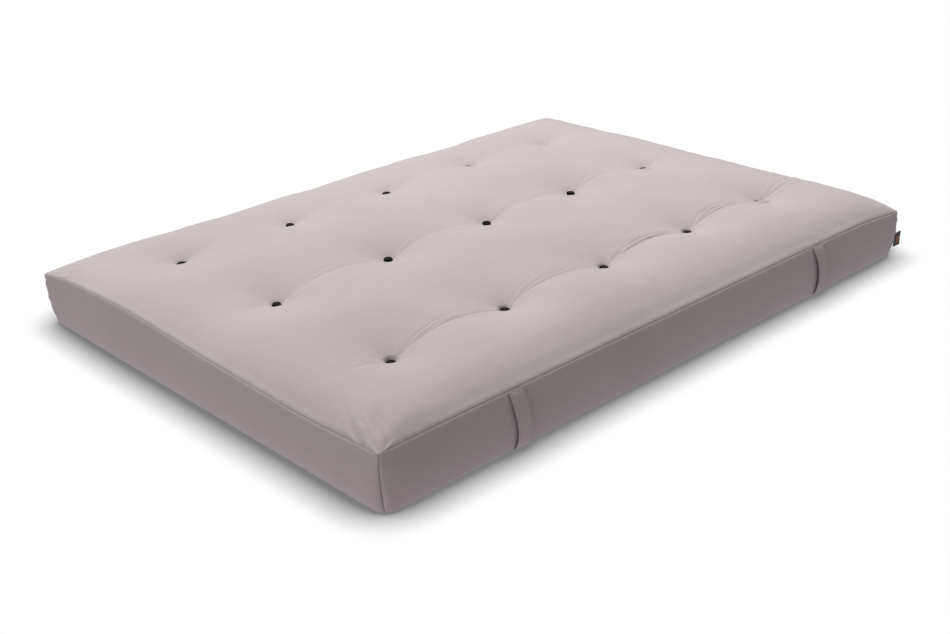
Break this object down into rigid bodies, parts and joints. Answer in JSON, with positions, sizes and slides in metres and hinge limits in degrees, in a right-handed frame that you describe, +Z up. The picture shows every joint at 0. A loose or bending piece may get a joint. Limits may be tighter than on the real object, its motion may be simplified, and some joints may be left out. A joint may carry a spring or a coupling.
{
  "type": "futon mattress",
  "caption": "Tufted futon mattress: boxed cotton cover over cotton felt and a foam core, with felt-pad tufts, strap handles on its long sides and a small woven side label.",
  "frame": {"origin": "on the floor under the middle of the whole piece", "axes": "+X along the length, +Y across the width, away from the side whose right-hand corner has the label, +Z up through the thickness"},
  "size_m": [2.0406, 1.4472, 0.2235],
  "materials": {
    "cover_cotton": "matte",
    "cotton_felt": "matte",
    "foam": "matte",
    "tuft_felt": "matte",
    "tuft_twine": "matte",
    "label_weave": "matte"
  },
  "bodies": {
    "mattress": {"cover_top": "cover_cotton", "cover_base": "cover_cotton", "border_front": "cover_cotton", "border_back": "cover_cotton", "border_left": "cover_cotton", "border_right": "cover_cotton", "cotton_top": "cotton_felt", "foam_core": "foam", "cotton_base": "cotton_felt", "tuft_a1_top_pad": "tuft_felt", "tuft_a1_twine": "tuft_twine", "tuft_a1_base_pad": "tuft_felt", "tuft_a2_top_pad": "tuft_felt", "tuft_a2_twine": "tuft_twine", "tuft_a2_base_pad": "tuft_felt", "tuft_a3_top_pad": "tuft_felt", "tuft_a3_twine": "tuft_twine", "tuft_a3_base_pad": "tuft_felt", "tuft_a4_top_pad": "tuft_felt", "tuft_a4_twine": "tuft_twine", "tuft_a4_base_pad": "tuft_felt", "tuft_a5_top_pad": "tuft_felt", "tuft_a5_twine": "tuft_twine", "tuft_a5_base_pad": "tuft_felt", "tuft_b1_top_pad": "tuft_felt", "tuft_b1_twine": "tuft_twine", "tuft_b1_base_pad": "tuft_felt", "tuft_b2_top_pad": "tuft_felt", "tuft_b2_twine": "tuft_twine", "tuft_b2_base_pad": "tuft_felt", "tuft_b3_top_pad": "tuft_felt", "tuft_b3_twine": "tuft_twine", "tuft_b3_base_pad": "tuft_felt", "tuft_b4_top_pad": "tuft_felt", "tuft_b4_twine": "tuft_twine", "tuft_b4_base_pad": "tuft_felt", "tuft_b5_top_pad": "tuft_felt", "tuft_b5_twine": "tuft_twine", "tuft_b5_base_pad": "tuft_felt", "tuft_c1_top_pad": "tuft_felt", "tuft_c1_twine": "tuft_twine", "tuft_c1_base_pad": "tuft_felt", "tuft_c2_top_pad": "tuft_felt", "tuft_c2_twine": "tuft_twine", "tuft_c2_base_pad": "tuft_felt", "tuft_c3_top_pad": "tuft_felt", "tuft_c3_twine": "tuft_twine", "tuft_c3_base_pad": "tuft_felt", "tuft_c4_top_pad": "tuft_felt", "tuft_c4_twine": "tuft_twine", "tuft_c4_base_pad": "tuft_felt", "tuft_c5_top_pad": "tuft_felt", "tuft_c5_twine": "tuft_twine", "tuft_c5_base_pad": "tuft_felt"},
    "handle_front_left": {"handle_front_left": "cover_cotton"},
    "handle_front_right": {"handle_front_right": "cover_cotton"},
    "handle_back_left": {"handle_back_left": "cover_cotton"},
    "handle_back_right": {"handle_back_right": "cover_cotton"},
    "side_label": {"side_label": "label_weave"}
  },
  "joints": [
    {"name": "handle_front_left_bow", "type": "slide", "parent": "mattress", "child": "handle_front_left", "axis": [0, -1, 0], "range_m": [0, 0.025]},
    {"name": "handle_front_right_bow", "type": "slide", "parent": "mattress", "child": "handle_front_right", "axis": [0, -1, 0], "range_m": [0, 0.025]},
    {"name": "handle_back_left_bow", "type": "slide", "parent": "mattress", "child": "handle_back_left", "axis": [0, 1, 0], "range_m": [0, 0.025]},
    {"name": "handle_back_right_bow", "type": "slide", "parent": "mattress", "child": "handle_back_right", "axis": [0, 1, 0], "range_m": [0, 0.025]},
    {"name": "side_label_flap", "type": "hinge", "parent": "mattress", "child": "side_label", "pos_m": [0.99234, -0.701, 0.049], "axis": [0, 0, 1], "range_deg": [-135, 75]}
  ]
}
